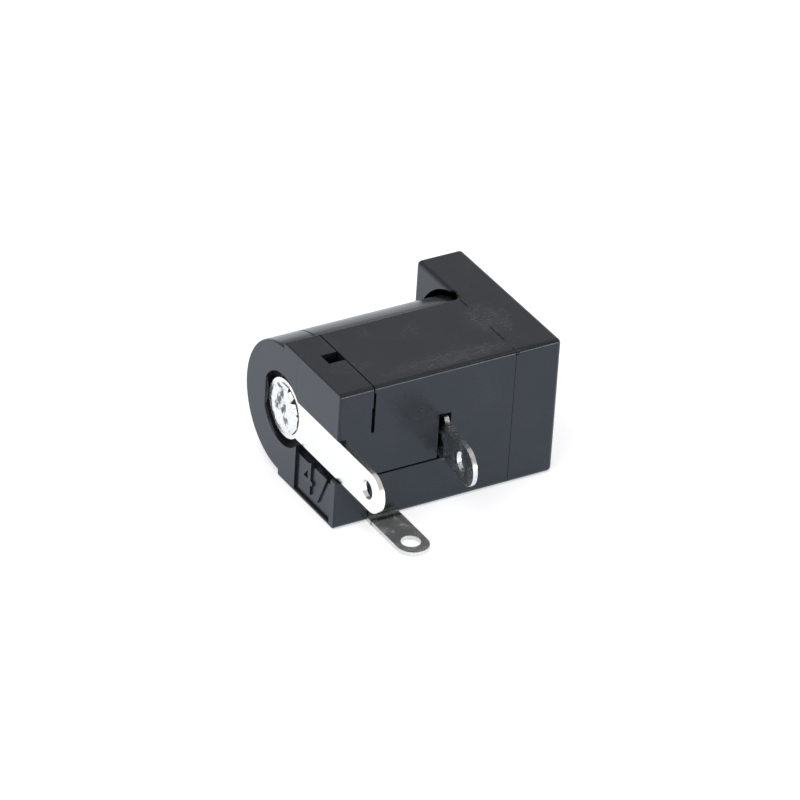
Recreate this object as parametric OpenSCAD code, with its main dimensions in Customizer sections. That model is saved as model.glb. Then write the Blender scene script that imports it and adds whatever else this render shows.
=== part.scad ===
// Low-voltage barrel jack for a round power plug, with three solder terminals.
// It lies on the side that carries the switch terminal. +X points out of the
// mouth, -Y is the board side that the terminals leave from, and +Z is up.
// The origin is the middle of its footprint, on the surface that it lies on.

/* [Body] */
// Overall length, from the rear face to the mouth
jack_len = 14.7; // [13.5:0.05:16]
// Width across the two flat sides
body_w = 9.0; // [8.8:0.1:10]
// Reach of the square block behind the flange, from the board side
block_reach = 6.5; // [5.8:0.1:6.8]
// Radius of the round barrel
barrel_r = 4.15; // [4.0:0.05:4.3]
// Distance of the socket axis from the board side
axis_reach = 6.5; // [6.4:0.1:6.8]
// Rounding of the long edges on the board side
edge_r = 0.3; // [0.15:0.05:0.4]
// Rounding of the step from the block to the barrel
step_r = 0.12; // [0.05:0.01:0.2]

/* [Flange] */
// Height of the flange, from the board side
flange_reach = 11.4; // [11:0.1:12]
// Thickness of the flange
flange_t = 3.1; // [2.5:0.05:3.2]
// Rounding of the flange's edges
flange_r = 0.3; // [0.2:0.05:0.4]
// Width of the groove in its rear face, round the barrel
groove_w = 0.12; // [0.08:0.01:0.2]
// Depth of that groove
groove_t = 0.15; // [0.05:0.01:0.25]
// Radius of the round notch in its rear face, beside the block
notch_r = 0.5; // [0.3:0.05:0.6]
// Depth of that notch
notch_t = 0.3; // [0.1:0.05:0.4]
// Distance of the notch's middle from the block
notch_gap = 0.65; // [0.5:0.05:0.8]
// Reach of the notch down from the flat side
notch_run = 1.0; // [0.6:0.1:1.4]
// Width of the fine witness line where the flange meets the block
witness_w = 0.07; // [0.05:0.01:0.12]
// Depth of the witness line
witness_t = 0.05; // [0.03:0.01:0.08]

/* [Socket] */
// Radius of the plug socket
bore_r = 3.2; // [3.0:0.05:3.3]
// Depth of the plug socket
bore_depth = 9.65; // [9.0:0.05:9.8]
// Size of the lead-in chamfer at the mouth
lead_in = 0.45; // [0.2:0.05:0.6]

/* [Rear cap] */
// Thickness of the cap, up to the seam
cap_t = 2.2; // [2.0:0.05:2.5]
// Gap at the seam between cap and housing
seam_gap = 0.08; // [0.05:0.01:0.12]
// Rounding of the rear edges
cap_r = 0.1; // [0.05:0.01:0.3]
// Rounding of its rear edge on the board side
corner_r = 0.15; // [0.1:0.05:0.4]
// Radial gap between the cap's boss and the housing
boss_gap = 0.05; // [0.03:0.01:0.1]
// Width of the slot that the cap's tongue closes
slot_w = 3.0; // [2.9:0.05:3.2]
// Thickness of the tongue
tongue_t = 1.4; // [1.1:0.05:1.6]
// Gap beside the tongue on its upper edge
tongue_gap_top = 0.005; // [0.005:0.005:0.06]
// Gap beside the tongue on its lower edge
tongue_gap_low = 0.12; // [0.05:0.01:0.16]
// Width of the seam on the board side, above the slot
slit_w = 0.16; // [0.12:0.01:0.25]
// Length of that open seam
slit_run = 2.6; // [2:0.1:2.7]
// Depth of that open seam
slit_t = 0.8; // [0.4:0.1:0.9]
// Length of the cap's own relief along it
relief_run = 1.65; // [1:0.05:2]
// Width of that relief
relief_w = 0.06; // [0.02:0.01:0.1]
// Gap between the tongue's end and the sleeve terminal
tongue_gap_end = 0.2; // [0.1:0.05:0.3]

/* [Rear recesses] */
// Radius of the round part of the keyhole recess
keyhole_r = 2.2; // [2.1:0.05:2.3]
// Shift of the keyhole's round part towards the board side
keyhole_shift = 0.2; // [0:0.05:0.25]
// Distance of the keyhole's flat side from its middle
keyhole_flat = 2.1; // [2.1:0.05:2.2]
// Radius of the keyhole's bulge, up and away from the board side
bulge_r = 2.15; // [2.1:0.05:2.2]
// Shift of that bulge, both up and away from the board side
bulge_shift = 0.18; // [0.1:0.02:0.3]
// Depth of the outer face of the pin terminal below the rear face
strip_sink = 0.25; // [0.2:0.05:0.4]
// Gap between the terminal and the upper wall of its channel
channel_gap_top = 0.28; // [0.1:0.02:0.6]
// Gap between the terminal and the lower wall of its channel
channel_gap_low = 0.1; // [0.05:0.05:0.2]
// Width of the channel's deep step along the marking pad
channel_step = 0.35; // [0.1:0.05:0.5]
// Depth of the marking pad
pad_t = 0.38; // [0.2:0.02:0.45]
// Rim of the pad beside the board side
pad_rim_board = 0.58; // [0.5:0.02:0.8]
// Rim of the pad along the flat side
pad_rim_side = 0.2; // [0.2:0.02:0.4]
// Reach of the pad from the board side
pad_reach = 4.62; // [4.2:0.02:4.8]

/* [Latches] */
// Width of the latch window
window_w = 0.98; // [0.8:0.02:1.2]
// Length of the latch window, back from the seam
window_len = 1.05; // [0.8:0.05:1.2]
// Depth of the window down to the latch arm
window_t = 1.05; // [0.9:0.05:1.1]
// Distance of the latch from the board side
latch_reach = 3.86; // [3.6:0.02:4]
// Thickness of the latch arm
latch_t = 0.6; // [0.5:0.05:0.65]
// Length of the latch arm inside the housing
latch_len = 1.9; // [1.6:0.1:2.2]
// Height of the barb at the arm's end
barb_t = 0.25; // [0.15:0.05:0.3]
// Gap round the latch arm
latch_gap = 0.06; // [0.04:0.01:0.1]

/* [Centre pin] */
// Radius of the pin
pin_r = 1.05; // [0.95:0.05:1.1]
// Distance of the pin's tip inside the mouth
tip_recess = 0.9; // [0.5:0.1:1.5]
// Rounding of the pin's tip
tip_r = 0.6; // [0.4:0.05:0.8]
// Radius of the collar on the socket's floor
collar_r = 1.7; // [1.5:0.05:1.8]
// Thickness of the collar
collar_t = 0.5; // [0.3:0.05:0.6]
// Radial gap round the pin's shank
shank_gap = 0.03; // [0.02:0.01:0.05]
// Radius of the rolled-over rivet head
rivet_r = 1.72; // [1.6:0.02:1.76]
// Thickness of the rivet head at its middle
rivet_t = 0.2; // [0.16:0.01:0.24]
// Radius of the rivet head's flat middle
rivet_flat_r = 1.2; // [1.1:0.05:1.4]
// Thickness of the rivet head at its edge
rivet_edge_t = 0.1; // [0.08:0.01:0.12]
// Radius of the dimple in the rivet head
dimple_r = 0.28; // [0.2:0.02:0.4]
// Width of each split at the rivet's edge
split_w = 0.34; // [0.2:0.02:0.5]
// Length of each split
split_len = 0.72; // [0.4:0.02:0.9]

/* [Terminals] */
// Thickness of the terminal sheet
sheet_t = 0.3; // [0.25:0.01:0.32]
// Radius of the solder eyes
eye_r = 0.58; // [0.45:0.01:0.62]
// Radius of the pin terminal's round head
head_r = 1.85; // [1.8:0.01:1.9]
// Width of the pin terminal
strip_w = 2.5; // [2.3:0.05:2.6]
// Shift of the pin terminal below the middle of the body
strip_shift = 0.05; // [0:0.05:0.1]
// Reach of the pin terminal past the board side
strip_out = 4.55; // [3.5:0.05:5.5]
// Distance of its eye from its tip
strip_eye = 1.55; // [1.3:0.05:1.8]
// Distance of the sleeve terminal from the rear face
blade_x = 6.87; // [6.8:0.01:7]
// Width of the sleeve terminal
blade_w = 2.4; // [2.2:0.05:2.5]
// Width of its root, in the slot
root_w = 2.86; // [2.7:0.02:2.86]
// Reach of the sleeve terminal past the board side
blade_out = 4.5; // [3.5:0.05:5.5]
// Distance of its eye from its tip
blade_eye = 1.7; // [1.3:0.05:1.9]
// Lean of the sleeve terminal towards the rear, in degrees
blade_lean = 6.8; // [0:0.1:8]
// Width of the switch terminal
switch_w = 2.0; // [1.8:0.05:2.1]
// Gap between the switch terminal and the seam
switch_set = 0.02; // [0.01:0.01:0.1]
// Reach of the switch terminal past the board side
switch_out = 4.48; // [3.5:0.02:5.5]
// Distance of its eye from its tip
switch_eye = 1.2; // [1.1:0.05:1.5]
// Gap round the contacts in the housing
contact_gap = 0.05; // [0.03:0.01:0.08]

/* [Springs] */
// Distance of the spring chamber's floor from the board side
chamber_floor = 1.0; // [0.9:0.05:1.1]
// Width of the spring leaf
leaf_w = 2.6; // [2.3:0.05:2.7]
// Inner radius of the bend above the blade
root_bend_r = 0.3; // [0.2:0.05:0.4]
// Length of the leg on the chamber floor
leg_len = 2.7; // [2.2:0.05:2.8]
// Inner radius of the leaf's turn
turn_r = 0.55; // [0.5:0.01:0.58]
// Height of the contact bump inside the socket
bump_in = 0.7; // [0.5:0.05:0.8]
// Slope of the leaf in front of the bump, in degrees
rise_a = 35; // [30:1:45]
// Slope of the leaf behind the bump, in degrees
fall_a = 22; // [21:1:24]
// Inner radius of the small bends
small_bend_r = 0.5; // [0.3:0.05:0.6]
// Inner radius of the contact bump
bump_r = 0.7; // [0.5:0.05:0.8]
// Length of the leaf's free end under the switch arm
free_len = 1.2; // [1.0:0.05:1.4]
// Inner radius of the bend in the switch contact
switch_bend_r = 0.1; // [0.05:0.05:0.15]
// Reach of the switch arm past the middle of the body
arm_past = 0.7; // [0.3:0.05:1]

/* [Hidden] */
$fn = 96;

cut = 1;
bend_step = 6;
plastic = [0.12, 0.125, 0.135];
nickel = [0.78, 0.77, 0.74];
brass_plate = [0.70, 0.69, 0.64];

lead_out = max(strip_out, blade_out, switch_out);
mid_x = jack_len / 2;
mid_y = (flange_reach - lead_out) / 2;
axis_z = body_w / 2;
flange_x = jack_len - flange_t;
floor_x = jack_len - bore_depth;
boss_r = bore_r - boss_gap;
slot_z = axis_z - slot_w / 2;
tongue_w = slot_w - tongue_gap_top - tongue_gap_low;

strip_z = axis_z - strip_shift;
channel_t = strip_sink + sheet_t;
channel_z = strip_z - strip_w / 2 - channel_gap_low;
channel_w = strip_w + channel_gap_low + channel_gap_top;
keyhole_y = axis_reach - keyhole_shift;

window_x = cap_t - window_len;
window_y = latch_reach - window_w / 2;
latch_z = body_w - window_t - latch_t;
barb_len = 2 * barb_t;

blade_front = blade_x + sheet_t;
slot_x = blade_front + root_bend_r;
tongue_len = blade_x - tongue_gap_end - cap_t;
switch_x = cap_t + switch_set;

// The leaf's line: the leg lies on the chamber floor, turns back over itself,
// rises into the socket and falls to the underside of the switch arm.
root_run = chamber_floor - root_bend_r;
leaf_z = axis_z - leaf_w / 2;
arm_low = chamber_floor + 2 * turn_r + sheet_t;
leaf_start_y = arm_low + sheet_t / 2;
bump_y = axis_reach - bore_r + bump_in - sheet_t / 2;
end_y = leaf_start_y;
bends_r = small_bend_r + bump_r + sheet_t;
rise_run = (bump_y - leaf_start_y - bends_r * (1 - cos(rise_a))) / sin(rise_a);
fall_run = (bump_y - end_y - bends_r * (1 - cos(fall_a))) / sin(fall_a);
chamber_x = blade_front + root_bend_r + leg_len + turn_r + sheet_t + contact_gap;
switch_arm_y = end_y + sheet_t / 2;
leaf_steps = [
    [root_run, -90, root_bend_r],
    [leg_len, 180, turn_r],
    [0, -rise_a, small_bend_r],
    [rise_run, rise_a + fall_a, bump_r],
    [fall_run, -fall_a, small_bend_r],
    [free_len, 0, 0]
];
blade_steps = [
    [root_run, -blade_lean, root_bend_r],
    [blade_out, 0, 0]
];
switch_steps = [
    [switch_arm_y - switch_bend_r, 90, switch_bend_r],
    [axis_z + arm_past - sheet_t - switch_bend_r, 0, 0]
];

split_angles = [72, 106, 138];

// ---- Placing and outlines --------------------------------------------------

// Moves the jack from its rear board-side corner to the frame's origin.
module in_frame() {
    translate([-mid_x, -mid_y, 0])
        children();
}

// Extrudes an outline drawn as (reach, height) along +X.
module along_x(x, len) {
    translate([x, 0, 0])
        rotate([90, 0, 90])
            linear_extrude(len)
                children();
}

// Extrudes an outline drawn as (length, height) along +Y.
module along_y(y, len) {
    translate([0, y + len, 0])
        rotate([90, 0, 0])
            linear_extrude(len)
                children();
}

// What a rounding takes off a corner that points down and to the near side.
module corner_cut(r) {
    difference() {
        translate([-cut, -cut])
            square(r + cut);
        translate([r, r])
            circle(r);
    }
}

// Rectangle with a rounding at each corner, from the near low one anticlockwise.
module rounded_rect(x0, x1, y0, y1, r) {
    corners = [[x0, y0], [x1, y0], [x1, y1], [x0, y1]];
    difference() {
        translate([x0, y0])
            square([x1 - x0, y1 - y0]);
        for (k = [0 : 3])
            translate(corners[k])
                rotate(90 * k)
                    corner_cut(r[k]);
    }
}

// Outline of the square block, seen along the socket axis.
module block_outline() {
    rounded_rect(0, block_reach, 0, body_w, [edge_r, step_r, step_r, edge_r]);
}

// Solid of revolution about the socket axis, from an outline of (radius, x).
module about_axis() {
    translate([0, axis_reach, axis_z])
        rotate([90, 0, 90])
            rotate_extrude()
                children();
}

// ---- Folded sheet ----------------------------------------------------------

// Stations [x, y, heading] along the middle of a folded strip that starts at
// the origin and heads along +X. Each step is [length, angle, inner radius].
function stations(steps, i = 0, x = 0, y = 0, a = 0) =
    i == len(steps) ? [[x, y, a]] : let(
        run = steps[i][0],
        turn = steps[i][1],
        side = sign(turn),
        r = steps[i][2] + sheet_t / 2,
        x1 = x + run * cos(a),
        y1 = y + run * sin(a),
        cx = x1 - side * r * sin(a),
        cy = y1 + side * r * cos(a),
        parts = ceil(abs(turn) / bend_step),
        a2 = a + turn
    ) concat(
        run > 0 ? [[x, y, a]] : [],
        [for (k = [0 : 1 : parts - 1]) let(b = a + turn * k / parts)
            [cx + side * r * sin(b), cy - side * r * cos(b), b]],
        stations(
            steps,
            i + 1,
            turn == 0 ? x1 : cx + side * r * sin(a2),
            turn == 0 ? y1 : cy - side * r * cos(a2),
            a2
        )
    );

// Edge-on outline of a folded strip, with its middle on the X axis at the start.
module folded_strip(steps) {
    line = stations(steps);
    half = sheet_t / 2;
    polygon(concat(
        [for (s = line) [s[0] - half * sin(s[2]), s[1] + half * cos(s[2])]],
        [for (k = [len(line) - 1 : -1 : 0]) let(s = line[k])
            [s[0] + half * sin(s[2]), s[1] - half * cos(s[2])]]
    ));
}

// Outline of a solder tail along +X, with a round end and an eye.
module tail_outline(out, w, eye) {
    difference() {
        union() {
            translate([0, -w / 2])
                square([out - w / 2, w]);
            translate([out - w / 2, 0])
                circle(w / 2);
        }
        translate([out - eye, 0])
            circle(eye_r);
    }
}

// ---- Housing ---------------------------------------------------------------

module flange() {
    all_r = [flange_r, flange_r, flange_r, flange_r];
    intersection() {
        along_x(flange_x, flange_t)
            rounded_rect(0, flange_reach, 0, body_w, all_r);
        along_y(0, flange_reach)
            rounded_rect(flange_x, jack_len, 0, body_w, all_r);
        linear_extrude(body_w)
            rounded_rect(flange_x, jack_len, 0, flange_reach, all_r);
    }
}

module housing_shell() {
    shell_x = cap_t + seam_gap;
    shell_len = flange_x + flange_t / 2 - shell_x;
    flange();
    along_x(shell_x, shell_len)
        block_outline();
    along_x(shell_x, shell_len)
        translate([axis_reach, axis_z])
            circle(barrel_r);
}

module socket() {
    about_axis()
        square([bore_r, jack_len + cut]);
    about_axis()
        polygon([
            [0, jack_len - lead_in],
            [bore_r, jack_len - lead_in],
            [bore_r + lead_in + cut, jack_len + cut],
            [0, jack_len + cut]
        ]);
}

module spring_chamber() {
    translate([0, -cut, slot_z])
        cube([slot_x, axis_reach + cut, slot_w]);
    translate([0, chamber_floor, slot_z])
        cube([chamber_x, axis_reach - chamber_floor, slot_w]);
}

module switch_pocket() {
    translate([0, -cut, -cut])
        cube([switch_x + switch_w + contact_gap, switch_arm_y + sheet_t + contact_gap + cut,
            sheet_t + contact_gap + cut]);
    translate([0, switch_arm_y - contact_gap, -cut])
        cube([switch_x + switch_w + contact_gap, sheet_t + 2 * contact_gap, axis_z + cut]);
}

// Room for one latch arm and its barb, on the upper side.
module latch_room() {
    room_x = cap_t + latch_len + latch_gap;
    translate([0, window_y - latch_gap, latch_z - latch_gap])
        cube([room_x, window_w + 2 * latch_gap, latch_t + 2 * latch_gap]);
    translate([room_x - barb_len - 2 * latch_gap, window_y - latch_gap, latch_z])
        cube([barb_len + 2 * latch_gap, window_w + 2 * latch_gap, latch_t + barb_t + latch_gap]);
}

module both_sides() {
    children();
    translate([0, 0, body_w])
        mirror([0, 0, 1])
            children();
}

module witness_line() {
    translate([flange_x - witness_w / 2, -cut, -cut])
        cube([witness_w, witness_t + cut, body_w + 2 * cut]);
    both_sides()
        translate([flange_x - witness_w / 2, -cut, body_w - witness_t])
            cube([witness_w, block_reach + cut, witness_t + cut]);
}

// Open seam on the board side, above the slot.
module seam_slit() {
    translate([cap_t, -cut, slot_z + slot_w - cut])
        cube([slit_w, slit_t + cut, slit_run + cut]);
}

// Groove round the barrel, sunk into the flange's rear face.
module barrel_groove() {
    translate([flange_x, 0, 0])
        intersection() {
            about_axis()
                translate([barrel_r, 0])
                    square([groove_w, groove_t]);
            translate([-cut, block_reach, 0])
                cube([2 * cut, flange_reach, body_w]);
        }
}

// Round notches in the flange's rear face, one beside each flat side.
module flange_notches() {
    both_sides()
        translate([flange_x, block_reach + notch_gap, body_w - notch_run])
            linear_extrude(notch_run + cut)
                intersection() {
                    translate([notch_t - notch_r, 0])
                        circle(notch_r);
                    translate([0, -notch_r])
                        square(2 * notch_r);
                }
}

module housing() {
    color(plastic)
        in_frame()
            difference() {
                housing_shell();
                socket();
                spring_chamber();
                switch_pocket();
                both_sides()
                    latch_room();
                witness_line();
                seam_slit();
                barrel_groove();
                flange_notches();
            }
}

// ---- Rear cap --------------------------------------------------------------

module cap_block() {
    intersection() {
        along_x(0, cap_t)
            block_outline();
        along_y(0, block_reach)
            rounded_rect(0, 2 * cap_t, 0, body_w, [cap_r, cap_r, cap_r, cap_r]);
        linear_extrude(body_w)
            rounded_rect(0, 2 * cap_t, 0, 2 * axis_reach, [corner_r, cap_r, cap_r, cap_r]);
    }
}

module cap_barrel() {
    about_axis() {
        translate([0, cap_r])
            square([barrel_r, cap_t - cap_r]);
        square([barrel_r - cap_r, cap_t]);
        translate([barrel_r - cap_r, cap_r])
            intersection() {
                circle(cap_r);
                translate([0, -cap_r])
                    square(cap_r);
            }
    }
}

module latch_arm() {
    translate([window_x, window_y, latch_z])
        cube([window_len + latch_len, window_w, latch_t]);
    translate([cap_t + latch_len - barb_len, window_y + window_w, latch_z + latch_t])
        rotate([90, 0, 0])
            linear_extrude(window_w)
                polygon([[0, 0], [barb_len, 0], [0, barb_t]]);
}

// What is cut into the rear face: keyhole, channel and marking pad.
module rear_recesses() {
    along_x(-cut, channel_t + cut) {
        intersection() {
            union() {
                translate([keyhole_y, axis_z])
                    circle(keyhole_r);
                translate([keyhole_y + bulge_shift, axis_z + bulge_shift])
                    circle(bulge_r);
            }
            square([keyhole_y + keyhole_flat, body_w]);
        }
        translate([-cut, channel_z])
            square([keyhole_y + cut, channel_w]);
        translate([pad_rim_board, channel_z - channel_step])
            square([pad_reach - pad_rim_board, channel_step + cut]);
    }
    translate([-cut, pad_rim_board, pad_rim_side])
        cube([pad_t + cut, pad_reach - pad_rim_board, channel_z + cut - pad_rim_side]);
}

module rear_cap() {
    color(plastic)
        in_frame() {
            difference() {
                union() {
                    cap_block();
                    cap_barrel();
                    about_axis()
                        square([boss_r, floor_x]);
                    translate([0, 0, slot_z + tongue_gap_low])
                        cube([cap_t + tongue_len, tongue_t, tongue_w]);
                }
                rear_recesses();
                translate([cap_t - relief_w, -cut, slot_z + slot_w])
                    cube([relief_w + cut, slit_t + cut, relief_run]);
                about_axis()
                    translate([0, -cut])
                        square([pin_r + shank_gap, floor_x + 2 * cut]);
                both_sides()
                    translate([window_x, window_y, latch_z])
                        cube([window_len + cut, window_w, body_w]);
            }
            both_sides()
                latch_arm();
        }
}

// ---- Centre pin ------------------------------------------------------------

module rivet_splits() {
    for (a = split_angles)
        rotate([0, 0, a])
            translate([rivet_r + cut / 2, 0, 0])
                rotate([0, 0, 180])
                    linear_extrude(2 * cut, center = true)
                        polygon([
                            [0, -split_w],
                            [cut / 2 + split_len, 0],
                            [0, split_w]
                        ]);
}

module center_pin() {
    tip_x = jack_len - tip_recess;
    rivet_x = strip_sink - rivet_t;
    rivet_rim_x = strip_sink - rivet_edge_t;
    color(nickel)
        in_frame() {
            about_axis() {
                translate([0, strip_sink])
                    square([pin_r, tip_x - tip_r - strip_sink]);
                translate([0, tip_x - tip_r])
                    square([pin_r - tip_r, tip_r]);
                translate([pin_r - tip_r, tip_x - tip_r])
                    intersection() {
                        circle(tip_r);
                        square(tip_r);
                    }
                translate([0, floor_x])
                    square([collar_r, collar_t]);
            }
            difference() {
                about_axis()
                    polygon([
                        [0, strip_sink],
                        [rivet_r, strip_sink],
                        [rivet_r, rivet_rim_x],
                        [rivet_flat_r, rivet_x],
                        [dimple_r, rivet_x],
                        [0, rivet_x + dimple_r / 2]
                    ]);
                translate([strip_sink, axis_reach, axis_z])
                    rotate([90, 0, 90])
                        rivet_splits();
            }
        }
}

// ---- Terminals -------------------------------------------------------------

module pin_terminal() {
    color(nickel)
        in_frame()
            along_x(strip_sink, sheet_t)
                difference() {
                    union() {
                        translate([axis_reach, axis_z])
                            circle(head_r);
                        translate([0, strip_z])
                            mirror([1, 0])
                                tail_outline(strip_out, strip_w, strip_eye);
                        translate([0, strip_z - strip_w / 2])
                            square([axis_reach, strip_w]);
                    }
                    translate([axis_reach, axis_z])
                        circle(pin_r + shank_gap);
                }
}

// The sleeve terminal's tail, with shoulders that narrow from the root.
module blade_outline() {
    shoulder = (root_w - blade_w) / 2;
    tail_outline(blade_out, blade_w, blade_eye);
    polygon([
        [0, -root_w / 2],
        [shoulder, -root_w / 2],
        [2 * shoulder, -blade_w / 2],
        [2 * shoulder, blade_w / 2],
        [shoulder, root_w / 2],
        [0, root_w / 2]
    ]);
}

module spring_leaf() {
    translate([blade_x + sheet_t / 2, 0, leaf_z])
        rotate([0, 0, 90])
            linear_extrude(leaf_w)
                folded_strip(leaf_steps);
}

module sleeve_blade() {
    intersection() {
        translate([blade_x + sheet_t / 2, root_run, axis_z - root_w / 2])
            rotate([0, 0, -90])
                linear_extrude(root_w)
                    folded_strip(blade_steps);
        along_x(0, cap_t + bore_depth)
            translate([0, axis_z])
                mirror([1, 0]) {
                    blade_outline();
                    translate([-root_run - cut, -root_w / 2])
                        square([root_run + cut, root_w]);
                }
    }
}

module sleeve_contact() {
    color(brass_plate)
        in_frame() {
            spring_leaf();
            sleeve_blade();
        }
}

module switch_contact() {
    color(brass_plate)
        in_frame() {
            translate([switch_x + switch_w / 2, 0, 0])
                rotate([0, 0, -90])
                    linear_extrude(sheet_t)
                        tail_outline(switch_out, switch_w, switch_eye);
            along_x(switch_x, switch_w)
                translate([0, sheet_t / 2])
                    folded_strip(switch_steps);
        }
}

housing();
rear_cap();
center_pin();
pin_terminal();
sleeve_contact();
switch_contact();
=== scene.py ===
"""A low-voltage barrel jack: black mouldings, a plated pin and three plated solder terminals.

Every length is in metres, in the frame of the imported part: +X out of the mouth, -Y towards the
board side that the terminals leave from, and +Z up from the flat side that the jack lies on.
"""

import logging
import math
from dataclasses import dataclass, field
from enum import Enum
from typing import Optional, Union

import bmesh
import bpy
from mathutils import Matrix, Vector


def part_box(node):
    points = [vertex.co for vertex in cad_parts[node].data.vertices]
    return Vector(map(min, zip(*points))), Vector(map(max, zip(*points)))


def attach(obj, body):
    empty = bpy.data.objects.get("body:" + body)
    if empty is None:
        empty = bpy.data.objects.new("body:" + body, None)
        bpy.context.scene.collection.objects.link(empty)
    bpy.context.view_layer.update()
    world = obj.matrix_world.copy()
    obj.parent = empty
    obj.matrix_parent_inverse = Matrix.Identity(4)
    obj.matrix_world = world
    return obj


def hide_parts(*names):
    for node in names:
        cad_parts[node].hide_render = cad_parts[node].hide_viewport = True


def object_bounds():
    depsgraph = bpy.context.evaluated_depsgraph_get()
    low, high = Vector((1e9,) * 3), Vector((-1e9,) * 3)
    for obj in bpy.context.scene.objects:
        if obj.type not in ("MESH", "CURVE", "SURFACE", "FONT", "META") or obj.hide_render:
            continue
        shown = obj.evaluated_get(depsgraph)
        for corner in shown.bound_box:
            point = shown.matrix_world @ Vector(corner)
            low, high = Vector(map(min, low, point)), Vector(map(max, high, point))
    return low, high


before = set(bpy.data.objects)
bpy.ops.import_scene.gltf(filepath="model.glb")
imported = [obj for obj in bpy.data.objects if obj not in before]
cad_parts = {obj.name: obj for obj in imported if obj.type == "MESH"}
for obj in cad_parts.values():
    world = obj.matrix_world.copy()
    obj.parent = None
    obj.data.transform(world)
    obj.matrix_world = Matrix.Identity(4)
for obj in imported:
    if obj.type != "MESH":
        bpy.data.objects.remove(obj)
CAD_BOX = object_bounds()

LOG = logging.getLogger("barrel_jack")

# One millimetre.
MM = 0.001
# The rigid body that every piece rides on.
BODY = "root"
# Points that are this close together count as one point.
WELD = 1e-7
# How near to a plane a point may lie and still count as on it.
NEAR = 1e-6
# A weight so small that it only tells where nothing else does.
FAINT = 1e-9

Triple = tuple[float, float, float]
Colour = Triple
Value = Union[float, tuple[float, ...], bpy.types.NodeSocket, bpy.types.Material]

BLACK: Colour = (0.0, 0.0, 0.0)
WHITE: Colour = (1.0, 1.0, 1.0)


def in_mm(x: float, y: float, z: float) -> Triple:
    """Turns three lengths in millimetres into metres."""
    return (x * MM, y * MM, z * MM)


class Node(Enum):
    """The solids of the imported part."""

    HOUSING = "housing"
    REAR_CAP = "rear_cap"
    CENTER_PIN = "center_pin"
    PIN_TERMINAL = "pin_terminal"
    SLEEVE_CONTACT = "sleeve_contact"
    SWITCH_CONTACT = "switch_contact"


class Slot(Enum):
    """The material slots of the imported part."""

    PLASTIC = "black_plastic"
    PIN = "nickel_plate"
    STRIP = "tin_plate"
    SHEET = "bronze_plate"


# ---- Node trees --------------------------------------------------------------------------------


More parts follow.
